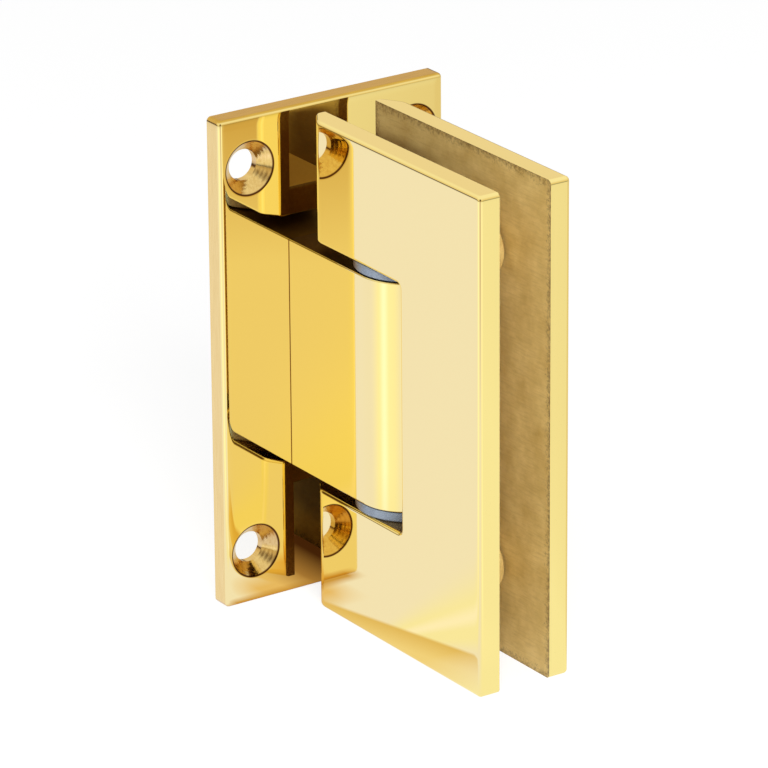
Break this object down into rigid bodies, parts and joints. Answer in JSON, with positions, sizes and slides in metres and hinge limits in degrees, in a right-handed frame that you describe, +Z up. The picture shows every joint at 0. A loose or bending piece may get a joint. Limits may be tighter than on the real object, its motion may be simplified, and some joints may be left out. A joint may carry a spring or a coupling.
{
  "type": "shower door hinge",
  "caption": "Wall-mounted shower door hinge: a full back plate and pivot block carry a notched glass clamp that swings on a vertical pin, in polished brass.",
  "frame": {"origin": "centre of the wall plate's back face, where it meets the wall", "axes": "+X out from the wall through the glass clamp, +Y along the wall, +Z up along the pin"},
  "size_m": [0.0608, 0.0466, 0.09],
  "materials": {
    "polished_brass": "mirror polished outside, dull where the glass is clamped",
    "brass_plated_steel": "bright plated",
    "stainless_steel": "turned",
    "spring_steel": "drawn wire",
    "grey_plastic": "moulded satin"
  },
  "bodies": {
    "wall_side": {"wall_plate": "polished_brass", "pivot_block": "polished_brass", "block_screws": "stainless_steel", "upper_detent_spring": "spring_steel", "lower_detent_spring": "spring_steel"},
    "door_side": {"front_clamp_plate": "polished_brass", "rear_clamp_plate": "polished_brass", "clamp_screws": "brass_plated_steel", "pivot_pin": "stainless_steel", "pin_grub_screws": "stainless_steel", "upper_washer": "grey_plastic", "lower_washer": "grey_plastic"},
    "upper_plunger": {"upper_detent_plunger": "stainless_steel"},
    "lower_plunger": {"lower_detent_plunger": "stainless_steel"}
  },
  "joints": [
    {"name": "door_swing", "type": "hinge", "parent": "wall_side", "child": "door_side", "pos_m": [0.0263, 0, 0], "axis": [0, 0, 1], "range_deg": [-90, 90]},
    {"name": "upper_plunger_slide", "type": "slide", "parent": "wall_side", "child": "upper_plunger", "axis": [-1, 0, 0], "range_m": [0, 0.0006], "stiffness_N_per_m": 17000, "springref_m": -0.002, "deforming": ["upper_detent_spring"]},
    {"name": "lower_plunger_slide", "type": "slide", "parent": "wall_side", "child": "lower_plunger", "axis": [-1, 0, 0], "range_m": [0, 0.0006], "stiffness_N_per_m": 17000, "springref_m": -0.002, "deforming": ["lower_detent_spring"]}
  ]
}
